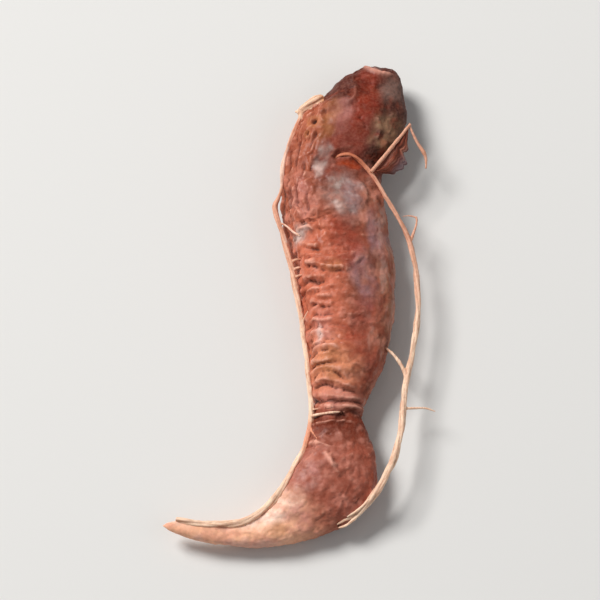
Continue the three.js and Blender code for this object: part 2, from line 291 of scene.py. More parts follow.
LEFT_SIDE_FIBRES = [  # each the same
    [(2.0, -22.7, 4.9, 0.3), (2.8, -22.8, 6.2, 0.3), (4.5, -22.8, 7.2, 0.28),
     (6.3, -22.7, 7.6, 0.24), (7.8, -22.5, 7.3, 0.16)],
    [(2.2, -21.3, 5.0, 0.2), (4.0, -21.7, 7.0, 0.2), (6.2, -21.5, 7.7, 0.12)],
    [(-1.9, 7.2, 5.8, 0.34), (-1.0, 7.8, 6.2, 0.28), (1.1, 8.0, 6.4, 0.2)],
    [(-1.5, 5.7, 5.8, 0.3), (-0.6, 6.2, 6.2, 0.26), (1.4, 6.3, 6.4, 0.2)],
    [(-1.2, 4.2, 5.8, 0.34), (-0.3, 4.7, 6.2, 0.28), (1.7, 4.8, 6.4, 0.2)],
    [(0.4, -5.0, 5.5, 0.3), (0.9, -3.7, 6.2, 0.26), (1.7, -2.4, 7.0, 0.22)],
    [(1.9, -24.7, 5.0, 0.3), (2.4, -26.1, 5.9, 0.26), (3.2, -27.5, 6.5, 0.14)],
    [(-3.9, 15.6, 5.7, 0.16), (-2.7, 14.7, 6.4, 0.2), (-1.4, 13.2, 7.3, 0.28),
     (-0.2, 12.1, 8.1, 0.26), (0.5, 11.5, 8.5, 0.1)],
]
RIGHT_SIDE_FIBRES = [  # each the same
    [(13.3, 24.2, 9.6, 0.36), (15.4, 26.6, 10.1, 0.4), (17.4, 29.3, 9.9, 0.38), (20.8, 34.2, 8.8, 0.3)],
    [(20.6, 33.9, 8.8, 0.26), (22.2, 30.7, 7.8, 0.3), (23.3, 29.1, 7.2, 0.42),
     (23.7, 28.1, 6.9, 0.3), (23.7, 26.1, 6.4, 0.18)],
    [(14.2, -9.1, 6.6, 0.22), (16.3, -10.1, 6.6, 0.28), (18.7, -12.9, 6.3, 0.36),
     (19.6, -15.3, 6.1, 0.42), (19.4, -17.1, 6.1, 0.3)],
    [(19.2, -21.5, 6.2, 0.3), (21.2, -21.3, 5.8, 0.24),
     (23.4, -21.2, 5.4, 0.22), (25.1, -21.7, 5.1, 0.14)],
    [(20.6, 10.7, 6.9, 0.26), (21.1, 12.5, 6.9, 0.25), (21.9, 15.3, 6.8, 0.23), (21.8, 16.3, 6.9, 0.2)],
    [(21.8, 16.1, 6.9, 0.18), (20.6, 16.4, 7.0, 0.14), (19.2, 16.2, 7.2, 0.11)],
    [(12.6, -39.2, 6.0, 0.3), (10.6, -41.0, 5.4, 0.26), (8.6, -42.2, 5.2, 0.14)],
]

# %% [markdown]
# ## Fibres and how they grow together
# A single round tube would look like wire. So a main string is three strands twisted slowly round each
# other, which gives it the long grooves of real fibre. A strand is a bezier curve with a round bevel,
# whose points carry the radius. All strands of one string are joined and get one skin by a fine voxel
# remesh, so that side fibres grow out of it with no seam.

# %% Fibres and how they grow together
FIBRES = 3  # in a main string
FIBRE_SHARE = 0.62  # a fibre's radius as a share of the string's
FIBRE_OFFSET = 0.42  # how far its middle is from the string's, by the same measure
TWIST = 26  # mm of string in one turn of its fibres
FRAYED_END = 5  # mm at the tail end of a string over which its fibres part
STRING_VOXEL = 0.11  # mm, the size of a string's faces
FIBRE_GRAIN = 1.3  # mm, the size of the unevenness of a string's skin
ROUGHNESS = 0.06  # mm, its height


def strand(course):
    """A round strand along a smooth curve through x, y, z and radius, in mm."""
    only()
    bpy.ops.curve.primitive_bezier_curve_add()
    piece = bpy.context.object
    piece.data.bevel_depth = MM  # so that a point's radius is in mm
    piece.data.bevel_resolution = 2
    piece.data.resolution_u = 6
    piece.data.use_fill_caps = True
    spline = piece.data.splines[0]
    spline.bezier_points.add(len(course) - 2)
    for point, (x, y, z, radius) in zip(spline.bezier_points, course):
        point.co = Vector((x, y, z)) * MM
        point.handle_left_type = point.handle_right_type = "AUTO"
        point.radius = radius
    bpy.ops.object.convert(target="MESH")
    return bpy.context.object


def main_string(course, fray):
    """The twisted fibres of a main string. Fray is by how much more they part at its tail end."""
    line, along = smooth_line(course, 1.0)
    ways = directions(line[:, :3])
    across = np.cross(ways, (0, 0, 1))
    across /= np.linalg.norm(across, axis=1)[:, None]
    upwards = np.cross(across, ways)
    radius = line[:, 3:]
    parted = 1 + fray * step(along, along[-1] - FRAYED_END, along[-1])[:, None]
    fibres = []
    for number in range(FIBRES):
        even_turn = 2 * math.pi * (number / FIBRES + along / TWIST)
        turn = (even_turn + 0.5 * np.sin(along / 3.7 + 2 * number))[:, None]
        offset = FIBRE_OFFSET * radius * parted * (np.cos(turn) * across + 0.8 * np.sin(turn) * upwards)
        swollen = 0.08 * np.sin(along / 1.3 + 4 * number) + 0.06 * np.sin(along / 0.7 + number)
        uneven = 1 + swollen[:, None]
        fibres.append(strand(np.column_stack([line[:, :3] + offset, FIBRE_SHARE * radius * uneven])))
    return fibres


def grow_together(name, pieces):
    """Joins strands that cross into one piece, with one even and slightly rough skin."""
    only(*pieces)
    bpy.ops.object.join()
    whole = bpy.context.object
    whole.name = name
    apply_modifier(whole, "REMESH", mode="VOXEL", voxel_size=STRING_VOXEL * MM)
    apply_modifier(whole, "SMOOTH", factor=0.5, iterations=3)
    points = points_of(whole)
    rough = np.array([noise.fractal(p, 0.8, 2.1, 3) for p in points / FIBRE_GRAIN])
    move_points(whole, points + points_of(whole, "normal") * (ROUGHNESS * rough)[:, None])
    shade_smooth(whole)
    print(name, "has", len(whole.data.polygons), "faces")
    return whole


# %% [markdown]
# ## The knob
# At its stem end the left string is torn from the stalk, and ends in a pale, woody knob. A lump with a
# rough skin would lack its grain, so it is made of splinters. Each splinter is a thick strand that
# tapers at both ends, and the remesh makes one body of them.

# %% The knob
KNOB = (2.0, 38.7, 7.5)  # its middle, mm
SPLINTERS = [  # x, y, z and radius, mm
    [(-0.5, 37.2, 6.8, 0.5), (0.6, 37.8, 7.2, 0.9), (2.0, 38.7, 7.5, 1.05),
     (3.4, 39.5, 7.7, 0.9), (4.5, 40.1, 7.8, 0.5)],
    [(0.4, 38.3, 7.0, 0.3), (1.6, 39.1, 7.3, 0.6), (2.9, 39.9, 7.6, 0.65), (4.1, 40.5, 7.7, 0.3)],
    [(0.8, 37.0, 7.2, 0.3), (2.1, 37.8, 7.6, 0.6), (3.4, 38.6, 7.9, 0.65), (4.6, 39.3, 8.2, 0.3)],
    [(-0.1, 37.6, 7.7, 0.2), (1.3, 38.5, 8.2, 0.45), (2.8, 39.3, 8.4, 0.5), (4.2, 40.0, 8.4, 0.2)],
    [(0.7, 35.6, 6.9, 0.3), (0.3, 36.5, 7.0, 0.5), (0.4, 37.4, 7.3, 0.6)],
    [(-0.9, 37.5, 6.9, 0.2), (-0.1, 37.5, 7.1, 0.5), (1.0, 37.9, 7.5, 0.5)],
]

left_string = grow_together(
    "left_string_fibres",
    main_string(LEFT_STRING, fray=0.6) + [strand(course) for course in LEFT_SIDE_FIBRES + SPLINTERS],
)
right_string = grow_together(
    "right_string_fibres",
    main_string(RIGHT_STRING, fray=3.0) + [strand(course) for course in RIGHT_SIDE_FIBRES],
)

# %% [markdown]
# ## The torn flap of skin
# In the fork of the right string hangs a flap of dried skin that was torn off with it. It is stiff and
# too small for a cloth simulation to tell, so it is shaped by a few waves. It starts as a flat grid,
# one long side of which follows the fork's prong. From there the grid reaches outwards, less so at its
# two ends, and rolls under to a torn, wavy edge. Solidify then gives it its thickness.

# %% The torn flap of skin
FLAP_LONG_SIDE = [  # on the fork's prong, mm
    (14.2, 24.5, 9.4), (16.0, 27.4, 9.7), (18.0, 30.5, 9.4), (20.3, 33.5, 8.8),
]
FLAP_WIDTH = 4.6  # mm where it is widest
FLAP_ROLL = 1.2  # radians through which it rolls under
FLAP_THICKNESS = 0.3  # mm
FLAP_TEAR = 0.3  # how deep its edge is torn, as a share of its width
CREASES = (0.16, 0.08)  # mm, the heights of those that run along the flap and of those across it

only()
bpy.ops.mesh.primitive_grid_add(x_subdivisions=60, y_subdivisions=24, size=2 * MM)
flap = bpy.context.object
flap.name = "torn_flap"
grid = points_of(flap)
u, v = np.clip((grid[:, :2].T + 1) / 2, 0, 1)  # along the prong and away from it, each from 0 to 1
long_side, _ = smooth_line(FLAP_LONG_SIDE, 0.1)
share = np.linspace(0, 1, len(long_side))
foot = np.column_stack([np.interp(u, share, values) for values in long_side.T])
ways = directions(long_side)
outwards = np.column_stack([np.interp(u, share, ways[:, 1]), -np.interp(u, share, ways[:, 0])])
torn = 1 + FLAP_TEAR * np.array([noise.fractal((4.5 * place, 0, 2), 0.8, 2.1, 4) for place in u])
width = FLAP_WIDTH * np.sin(math.pi * u**0.8) ** 0.8 * torn
roll = FLAP_ROLL * v * (0.8 + 0.25 * np.sin(5 * u))
reach = width * np.sin(roll) / FLAP_ROLL
drop = width * (1 - np.cos(roll)) / FLAP_ROLL
creased = CREASES[0] * np.sin(17 * v + 2.5 * np.sin(4 * u)) * (1 - 0.4 * v)
creased += CREASES[1] * np.sin(19 * u + 3 * v) * v
flap_points = np.column_stack([foot[:, :2] + outwards * reach[:, None], foot[:, 2] - drop + creased])
move_points(flap, flap_points)
flap_length = np.linalg.norm(long_side[-1] - long_side[0])
give_coordinates(flap, np.column_stack([STREAK * flap_length * u, FLAP_WIDTH * v, 0 * v]))
apply_modifier(flap, "SOLIDIFY", thickness=FLAP_THICKNESS * MM, offset=0, use_rim=True)
apply_modifier(flap, "SUBSURF", levels=1, render_levels=1)
shade_smooth(flap)
print("flap has", len(flap.data.polygons), "faces")

# %% [markdown]
# ## Places on the pod
# Wrinkles run across the pod and fibres run along it, and the pod is bent. So every point of the
# surface gets coordinates of its own: how far it is along the pod's middle line from the stem end, and
# how far it is to the right of that line. The middle line is a smooth curve through a few points, seen
# from above.

# %% Places on the pod
SPINE = [  # x and y, mm, from the stem end to the tip of the tail
    (14.4, 46.5), (13.0, 42.4), (10.4, 36.3), (7.4, 28.4), (6.6, 20.9), (7.9, 13.5), (9.1, 4.9),
    (9.5, -4.1), (9.0, -12.5), (7.7, -20.6), (7.6, -27.3), (6.9, -32.5), (5.3, -37.0), (2.3, -40.8),
    (-2.1, -43.6), (-8.6, -45.3), (-14.7, -45.4), (-19.9, -44.7), (-25.3, -43.5),
]
spine, spine_along = smooth_line(SPINE, 0.5)
spine_ways = directions(spine)
spine_tree = kdtree.KDTree(len(spine))
for number, (x, y) in enumerate(spine):
    spine_tree.insert((x, y, 0), number)
spine_tree.balance()
print("the pod is", round(spine_along[-1]), "mm long along its bend")


def on_pod(points):
    """How far each point is along the pod, and how far right of its middle line, in mm."""
    nearest = np.array([spine_tree.find((x, y, 0))[1] for x, y in points[:, :2]])
    away = points[:, :2] - spine[nearest]
    ways = spine_ways[nearest]
    along = spine_along[nearest] + (away * ways).sum(1)
    side = away[:, 1] * ways[:, 0] - away[:, 0] * ways[:, 1]
    return along, side


# %% [markdown]
# ## The pulp's body
# Dried pulp has no edges: everything flows. A copy of the solid model has the right size from the
# start, but a skin of flat facets. So the copy is turned into an even, fine grid of small faces by a
# voxel remesh, and smoothed just enough to lose the facets. The real pulp sticks to its strings, so its
# skin is drawn onto a string where one comes close.

# %% The pulp's body
VOXEL = 0.25  # mm, the size of the pulp's faces
EVENED = 2.2  # mm over which the solid model's facets are smoothed away
CLING_NEAR = 0.5  # mm: skin that is nearer to a string than this lies against it
CLING_FAR = 1.1  # mm: skin that is further away is left where it is
CLING_DEPTH = 0.15  # mm by which a string is sunk into the skin that clings to it
CLING_ROUNDS = 6  # of smoothing, where the skin was drawn onto a string


def copy_of(node, name):
    """A new piece with a copy of a node's mesh, its loose triangles merged."""
    piece = bpy.data.objects.new(name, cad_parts[node].data.copy())
    bpy.context.collection.objects.link(piece)
    only(piece)
    bpy.ops.object.mode_set(mode="EDIT")
    bpy.ops.mesh.select_all(action="SELECT")
    bpy.ops.mesh.remove_doubles(threshold=0.001 * MM)
    bpy.ops.object.mode_set(mode="OBJECT")
    piece.data.materials.clear()
    return piece


pulp = copy_of("pulp", "dried_pulp")
apply_modifier(pulp, "REMESH", mode="VOXEL", voxel_size=VOXEL * MM)
apply_modifier(pulp, "SMOOTH", factor=0.5, iterations=round(EVENED / VOXEL))

strings = surface_of(left_string, right_string)
points = points_of(pulp)
clinging = pulp.vertex_groups.new(name="clinging")
for number, point in enumerate(points):
    touched, _, _, gap = strings.find_nearest(Vector(point) * MM, CLING_FAR * MM)
    if touched and gap > 0:
        cling = 1 - step(gap / MM, CLING_NEAR, CLING_FAR)
        points[number] += (np.array(touched) / MM - point) * cling * (1 + CLING_DEPTH * MM / gap)
        clinging.add([number], float(cling), "ADD")
move_points(pulp, points)
apply_modifier(pulp, "SMOOTH", factor=0.5, iterations=CLING_ROUNDS, vertex_group="clinging")
pulp.vertex_groups.clear()
print("pulp has", len(pulp.data.polygons), "faces")

# %% [markdown]
# ## The pulp's relief
# A sculptor would draw the wrinkles by hand. This lesson lists, one by one, those that have a place of their
# own: a stroke is a low ridge or a furrow along a short bowed line on the pod. All other marks are
# fields over the surface. Most of them are a leather of round tops with sharp valleys between them,
# which is what a soft noise gives when its sign is dropped. The strokes and fields are added up and
# pushed out along the surface's own normals.

# %% Fields over the pulp
points = points_of(pulp)
along, side = on_pod(points)
height = points[:, 2]
ASKEW = np.array(Matrix.Rotation(0.6, 3, (1, 2, 3)))  # turns the noises' own grid out of line with the pod


def soft_noise(places, sizes, seed):
    """Soft noise from about -1 to 1, whose largest features have these sizes."""
    turned = places / np.array(sizes) @ ASKEW + seed
    return np.array([noise.fractal(p, 0.9, 2.1, 3) for p in turned])


def leather(places, sizes, seed, octaves=2):
    """Round tops with sharp valleys between them, from 0 in the valleys to about 1."""
    turned = places / np.array(sizes) @ ASKEW + seed
    return np.array([noise.turbulence(p, octaves, True) for p in turned])


wander = np.column_stack([soft_noise(points, (5, 5, 5), seed) for seed in (3.1, 13.7, 27.9)])
pod_places = np.column_stack([along, side, height])
warped = pod_places + 1.3 * wander
patchy = 0.5 + 0.5 * np.clip(2.0 * soft_noise(points, (5, 5, 5), 12.5), -1, 1)


def strokes(lines):
    """Rounded marks, 1 on their lines. A line has two ends, a bow and a half width."""
    marks = np.zeros(len(points))
    shifted = pod_places[:, :2] + 0.35 * wander[:, :2]
    for start_along, start_side, end_along, end_side, bow, width in lines:
        start = np.array((start_along, start_side))
        chord = np.array((end_along, end_side)) - start
        length = np.linalg.norm(chord)
        share = (shifted - start) @ chord / length**2
        off = ((shifted - start) * (-chord[1], chord[0])).sum(1) / length - bow * np.sin(math.pi * share)
        ends = step(share, -0.05, 0.15) * (1 - step(share, 0.8, 1.08))
        marks = np.maximum(marks, np.exp(-((off / width) ** 2)) * ends)
    return marks


# %% Where each kind of mark is
cross_wrinkled = band(along, 30, 74, 4) * (1 - step(side, 0, 5))
head_edge = band(along, 11, 34, 3) * (1 - step(side, -6.0, -3.6))
right_flank = step(side, 1.5, 5.0) * band(along, 26, 72, 4)
lower_lobe = band(along, 75, 98, 4)
thick = 1 - step(along, 94, 118)  # the thin tail has less relief

# %% Ridges and furrows
RIDGES = [  # ends along and beside the middle line, bow and half width, mm
    (31.4, -8.4, 32.8, -4.6, 0.3, 0.5), (33.4, -8.6, 35.4, -5.0, 0.4, 0.42),
    (35.8, -8.6, 38.4, -5.2, -0.5, 0.5), (38.2, -8.4, 40.4, -4.4, -0.4, 0.4),
    (40.6, -7.9, 42.9, -0.3, -1.1, 0.45), (43.7, -8.2, 44.7, -4.2, -0.4, 0.45),
    (46.4, -8.1, 48.0, -4.9, 0.4, 0.42), (48.9, -7.6, 50.2, -3.2, -0.5, 0.5),
    (50.6, -7.1, 51.1, -3.0, 0.3, 0.35), (53.0, -7.4, 53.6, -3.4, -0.4, 0.42),
    (55.6, -7.4, 56.6, -4.6, 0.4, 0.5), (57.6, -7.4, 58.1, -3.2, -0.3, 0.35),
    (59.3, -7.0, 59.6, -1.6, 0.5, 0.48), (61.1, -7.0, 61.7, -2.8, -0.5, 0.4),
    (63.6, -6.6, 64.1, 0.6, 0.8, 0.45), (65.6, -6.4, 66.0, 2.4, 0.6, 0.42),
    (67.4, -6.2, 67.6, 3.8, -0.5, 0.45), (69.2, -5.8, 69.2, 4.6, -0.6, 0.5),
    (72.9, -5.6, 73.0, 3.0, 0.6, 0.45), (76.8, -5.8, 78.0, -1.8, 0.4, 0.5),
    (79.1, -1.7, 82.9, 1.2, -0.7, 0.45), (13.2, -5.6, 15.4, -4.4, -0.6, 0.35),
    (14.0, -7.4, 17.6, -7.6, -0.5, 0.35), (10.4, 4.2, 14.8, 5.6, 0.7, 0.5),
    (5.4, -2.4, 9.8, -1.6, 0.6, 0.45), (25.4, 4.4, 31.0, 5.6, 0.5, 0.5),
]
PALE_RIDGES = [  # the same
    (0.4, -2.6, 0.9, 3.6, -0.7, 0.5), (78.9, -2.9, 81.6, 0.2, -0.5, 0.4),
]
FURROWS = [  # the same
    (36.8, -8.4, 39.2, -4.8, -0.5, 0.35), (41.5, -7.8, 43.9, -0.6, -1.1, 0.4),
    (44.6, -8.0, 45.8, -4.6, -0.4, 0.4), (49.9, -7.4, 50.9, -3.6, -0.4, 0.3),
    (52.0, -7.2, 52.4, -2.6, -0.3, 0.4), (60.3, -7.0, 60.7, -1.8, 0.5, 0.35),
    (64.6, -6.4, 65.0, 0.4, 0.8, 0.32), (66.5, -6.2, 66.8, 3.0, 0.3, 0.35),
    (68.3, -6.2, 68.4, 4.4, -0.5, 0.35), (71.2, -6.0, 71.4, 5.4, 0.6, 0.8),
    (19.0, -7.9, 23.5, -7.5, 0.0, 0.3), (22.0, -6.0, 25.4, -6.5, 0.3, 0.3),
    (25.8, -7.5, 29.6, -7.2, 0.2, 0.32), (17.2, -5.2, 20.2, -5.7, 0.2, 0.28),
    (27.4, -5.2, 31.0, -5.6, -0.2, 0.28), (22.6, -4.6, 24.0, -4.7, 0.0, 0.25),
    (12.0, 1.0, 13.8, 3.4, 0.4, 0.4), (6.8, 4.6, 11.0, 6.4, 0.3, 0.5),
    (12.9, -5.2, 14.3, -5.7, 0.1, 0.45), (20.0, -9.2, 24.0, -8.6, 0.1, 0.3),
    (26.0, -8.5, 29.2, -8.3, 0.1, 0.3),
]

# %% Ridges at random
SMALL_RIDGES = 70  # across the left flank
STRANDS = 44  # short lengthwise ridges of the head's left edge
draw = np.random.default_rng(11).uniform


def scattered(count, *ranges):
    """Lines at random, from the ranges of their start (two), their run (two), their bow and half width."""
    lines = []
    for _ in range(count):
        start_along, start_side, run_along, run_side, bow, width = [draw(*limits) for limits in ranges]
        lines.append((start_along, start_side, start_along + run_along, start_side + run_side, bow, width))
    return lines


small_lines = scattered(SMALL_RIDGES, (30, 74), (-8, 3), (-0.3, 0.9), (1.5, 4.0), (-0.4, 0.4), (0.35, 0.6))
strand_lines = scattered(STRANDS, (9, 33), (-8.6, -4.2), (1.0, 3.0), (-0.5, 0.5), (-0.3, 0.3), (0.2, 0.36))
ridges = strokes(RIDGES)
furrows = strokes(FURROWS)
small_ridges = strokes(small_lines)
strands = strokes(strand_lines)
pale_ridges = strokes(PALE_RIDGES)
print(len(RIDGES) + len(PALE_RIDGES), "ridges and", len(FURROWS), "furrows have a place of their own")

# %% The pits and the hollow
SOFT_BORDER = 0.6  # of a patch, as a share of its half size
PITS = [(15.8, -6.3, 0.8), (18.0, -6.6, 0.4)]  # along and beside the middle line, mm, and size of each
HOLLOW = (21.5, 2.6, 1.0, 1.9)  # under the upper end of the right string: place and half sizes, mm


def ellipse(patch):
    """1 in an ellipse with a soft, uneven border and 0 outside, from its place and half sizes in mm."""
    patch_along, patch_side, long, wide = patch
    away = np.hypot((warped[:, 0] - patch_along) / long, (warped[:, 1] - patch_side) / wide)
    return (1 - step(away, 1 - SOFT_BORDER, 1 + SOFT_BORDER)) * step(height, 2, 5)  # none on the underside


uneven = 0.22 * soft_noise(points, (0.9, 0.9, 0.9), 3.3)
from_each = [np.hypot((along - place) / 1.1, side - beside) / size for place, beside, size in PITS]
from_pit = np.where(height > 3, np.min(from_each, axis=0) + uneven, 9)
pit = 1 - step(from_pit, 0.2, 0.8)
pit_rim = band(from_pit, 1.0, 1.5, 0.3)
hollow = ellipse(HOLLOW)

# %% The whole relief
TAIL_RELIEF = 0.35  # share of the relief that the thin tail keeps
relief = (  # each mark with its height in mm
    0.40 * ridges
    + 0.35 * pale_ridges
    + 0.18 * small_ridges
    + 0.22 * strands
    - 0.30 * furrows
    - 0.80 * pit
    + 0.10 * pit_rim
    - 0.50 * hollow
    + 0.50 * leather(warped, (1.9, 1.1, 1.1), 9.0) * head_edge
    + 0.18 * leather(warped, (2.0, 1.8, 1.8), 21.0) * lower_lobe
    + 0.22 * leather(pod_places + wander * (1.2, 0, 0), (1.2, 3.6, 3.6), 15.0) * cross_wrinkled
    + 0.32 * leather(warped, (2.4, 1.6, 1.6), 5.0, 3) * (1 - 0.4 * right_flank) * (0.5 + 0.5 * patchy)
    + 0.12 * leather(points + 0.3 * wander, (1.1, 1.0, 1.0), 7.7) * (0.4 + 0.6 * patchy)
    + 0.26 * soft_noise(points, (4.2, 4.2, 4.2), 8.8)
)
relief -= relief.mean()
relief *= TAIL_RELIEF + (1 - TAIL_RELIEF) * thick
move_points(pulp, points + points_of(pulp, "normal") * relief[:, None])
print("the relief is from", relief.min().round(2), "to", relief.max().round(2), "mm high")

# %% Flat where it lies
points = points_of(pulp)
points[:, 2] = np.maximum(points[:, 2], 0)
move_points(pulp, points)
shade_smooth(pulp)

# %% [markdown]
# ## Crests and furrows
# Crests are painted lighter, as painted highlights, and furrows darker, as painted shade. A material can ask
# for that itself, but its answer changes with the size of the faces. So every point is compared with the
# average of its surroundings, which is found by letting the points trade their values with their neighbours
# many times.

# %% Crests and furrows
def standing_out(piece, reach):
    """How far each point stands out over its surroundings, averaged over about this reach in mm."""
    edges = np.empty(2 * len(piece.data.edges), np.int32)
    piece.data.edges.foreach_get("vertices", edges)
    first, second = edges.reshape(-1, 2).T
    points = points_of(piece)
    neighbours = np.bincount(edges, minlength=len(points))
    spacing = np.linalg.norm(points[first] - points[second], axis=1).mean()
    average = points.copy()
    for _ in range(round((reach / spacing) ** 2)):
        for axis in range(3):
            total = np.bincount(first, average[second, axis], len(points))
            total += np.bincount(second, average[first, axis], len(points))
            average[:, axis] = 0.5 * average[:, axis] + 0.5 * total / neighbours
    return ((points - average) * points_of(piece, "normal")).sum(1)


crest = standing_out(pulp, 0.8)
swelling = standing_out(pulp, 2.2)
print("crests stand out by", np.percentile(crest, [1, 10, 50, 90, 99]).round(2), "mm")

# %% [markdown]
# ## Painting the pulp
# The pulp's colour could be mixed from noises in its material, but its regions and patches have places
# of their own, so they are laid on like paint. First come the regions, from a dark head to a pale
# orange tail, with painted shadow on the head's right flank under the curl of the right string,
# painted shade in the crease of the waist, and a painted highlight on the left of the tail and, partly,
# on the left of the lower lobe. Then come patches: saturated red where the skin is thin, ochre where
# fibres show through, and pink, grey, lilac and whitish patches. Then painted highlights lighten the
# crests, less so on the head, and painted shade darkens the furrows, less so on the tail, and the pits.

# %% Painting the pulp
# A patch has its place along and beside the middle line and its half sizes, in mm.
GREY_PATCHES = [(28.6, 1.3, 4.2, 3.2), (21.2, -2.9, 2.6, 1.2), (34.7, -8.0, 1.8, 1.3)]
WHITISH = [
    (31.0, -0.4, 1.5, 1.1), (57.0, -5.8, 1.8, 0.7), (34.9, -8.2, 1.2, 0.8), (23.0, -3.2, 1.2, 0.7),
]
GREY_BROWN = [(4.0, 4.6, 2.8, 1.6)]
LILAC = [(45.5, 2.6, 5.0, 1.8), (37.5, 6.0, 4.2, 1.5), (29.0, 3.0, 3.4, 1.7), (104.0, 3.2, 6.0, 1.0)]
REDDENED = [
    (38.0, 0.2, 4.5, 3.4), (51.3, 2.8, 3.6, 2.6), (57.0, 1.0, 4.0, 2.6), (60.6, 4.4, 2.8, 2.2),
    (3.5, 0.2, 2.4, 1.8), (9.8, 1.4, 4.0, 2.4),
]
OCHRE = [(62.6, -3.0, 2.6, 3.0), (14.5, -4.0, 4.0, 1.3), (43.0, -3.4, 1.2, 2.2), (98.0, 0.4, 1.6, 1.4)]
PINK = [
    (12.3, -1.9, 3.0, 1.8), (83.8, -3.9, 1.6, 1.1), (94.6, -1.2, 1.6, 1.2), (93.0, 1.1, 1.6, 1.3),
    (27.5, -6.6, 4.0, 1.6), (68.0, -1.6, 2.2, 3.6), (55.6, -5.0, 3.6, 2.0),
]


def patches(places):
    """Soft patches of uneven outline."""
    return np.max([ellipse(patch) for patch in places], axis=0)


grain = soft_noise(points, (2.0, 2.0, 2.0), 31.0)
streak = soft_noise(pod_places + 0.8 * wander, (6.0, 1.7, 1.7), 61.0)
blotch = soft_noise(points, (2.6, 2.2, 2.2), 51.0)
drift = soft_noise(points, (6, 6, 6), 41.0)
where, beside = warped[:, 0], warped[:, 1]
everywhere = np.ones(len(points))
near_stem = 1 - step(along, 16, 26)
tail = step(where, 88, 98)
crest_highlight = 0.25 + 0.5 * np.maximum(step(along, 22, 36), 0.7 * head_edge)

LAYERS = [  # each colour, and how much it covers of those before it
    # regions, from the head to the tail
    ("#944a38", everywhere),
    ("#7d4838", 0.5 + 1.2 * drift),
    ("#7c3426", 1 - step(where, 20, 30)),
    ("#4c170a", 1 - step(where, 8, 15)),
    ("#a8583c", band(where, 12, 36, 3) * (1 - step(beside, -5.6, -3.4))),
    # painted shadow on the head's right flank, under the curl of the right string
    ("#432018", (1 - step(where, 20, 27)) * step(beside, 2.2, 6.0)),
    ("#957256", band(where, 9.5, 16, 1.5) * step(beside, 3.2, 4.8) * (0.6 + 0.8 * grain)),
    ("#c66a4d", band(where, 32, 70, 4) * (1 - step(beside, -3.0, 1.5))),
    ("#e08c68", 0.9 * band(where, 57, 68, 4) * (1 - step(beside, 0.5, 3.5))),
    ("#a8654e", band(where, 26, 68, 4) * step(beside, 1.5, 4.5)),
    ("#a87b60", band(where, 40, 58, 4) * step(beside, 4.6, 6.6) * (0.3 + 1.0 * grain)),
    ("#b98f80", 0.7 * right_flank * step(streak, 0.1, 0.5)),
    ("#5f3226", 0.7 * right_flank * step(-streak, 0.1, 0.5)),
    # painted shade in the crease of the waist
    ("#6a2a18", band(where, 70.8, 76, 1.8)),
    ("#a65b48", band(where, 76, 98, 4)),
    # pale pink on the left of the lower lobe, partly its own colour and partly a painted highlight
    ("#c48c80", band(where, 80, 97, 4) * (1 - step(beside, -3.4, -1.4)) * (0.4 + 0.8 * grain)),
    ("#ffbe98", step(where, 88, 97)),
    # painted highlight on the left of the tail
    ("#ffdcc8", step(where, 89, 98) * (1 - step(beside, -2.2, 0.2)) * (0.7 + 0.5 * grain)),
    ("#e3b4a8", 0.6 * step(where, 94, 102) * step(beside, 0.6, 1.8)),
    # blotches and patches
    ("#d98e7a", 0.40 * step(blotch, 0.05, 0.5) * (1 - 0.85 * near_stem)),
    ("#8f3a22", 0.40 * step(-blotch, 0.05, 0.5) * (1 - 0.9 * step(where, 88, 96))),
    ("#a03a26", 0.55 * patches(REDDENED) * (0.8 + 0.5 * grain)),
    ("#bc7d4c", 0.50 * patches(OCHRE) * (0.8 + 0.6 * grain)),
    ("#d68f84", 0.50 * patches(PINK) * (0.8 + 0.6 * grain)),
    ("#80655b", 0.75 * patches(GREY_BROWN) * (0.9 + 0.4 * grain)),
    # grey, lilac and whitish patches
    ("#9f857c", patches(GREY_PATCHES) * (0.75 + 0.8 * grain)),
    ("#9c787c", 0.55 * patches(LILAC) * (0.8 + 0.6 * grain)),
    ("#e6c2b6", 0.8 * patches(WHITISH) * (0.8 + 0.8 * grain)),
    ("#d2b8ae", 0.5 * patches(GREY_PATCHES) * step(grain, 0.1, 0.6)),
    # painted highlights on the crests, painted shade in the furrows, the broad hollows and the pits, then
    # the pale ridges, the hollow and the pits' rims
    ("#f5b29a", crest_highlight * step(crest, 0.03, 0.3)),
    ("#4a1206", (0.85 - 0.5 * tail) * step(-crest, 0.03, 0.22)),
    ("#4a1a0c", (0.5 - 0.35 * tail) * step(-swelling, 0.05, 0.4)),
    ("#5c1c0e", 0.6 * furrows * head_edge),
    ("#e2a08c", 0.8 * pale_ridges),
    ("#ac421e", 0.8 * hollow),
    ("#b26c3e", 0.55 * band(from_pit, 0.7, 1.4, 0.3)),
    ("#dc9c7c", 0.35 * pit_rim * step(beside, -6.6, -5.8)),
    # painted shade: the pits are painted near-black
    ("#230803", pit),
    # shade near the ground
    ("#5a2a1c", (0.5 - 0.35 * tail) * (1 - step(height, 1.5, 4.5))),
]
paint(pulp, LAYERS)
print("the pulp has", len(LAYERS), "layers of colour")

# %% [markdown]
# ## Finish: dried pulp
# The pulp is a sugary paste that has dried to a leather. It has a faint satin gloss, because its sugar
# draws moisture, and it is a little translucent. Dark blots, pale specks and damp spots, half a
# millimetre to 5 mm across, break up every even area.

# %% Finish: dried pulp
FLESH_GLOW = (1.0, 0.35, 0.2)  # how far red, green and blue light spread in it, as shares of its scale

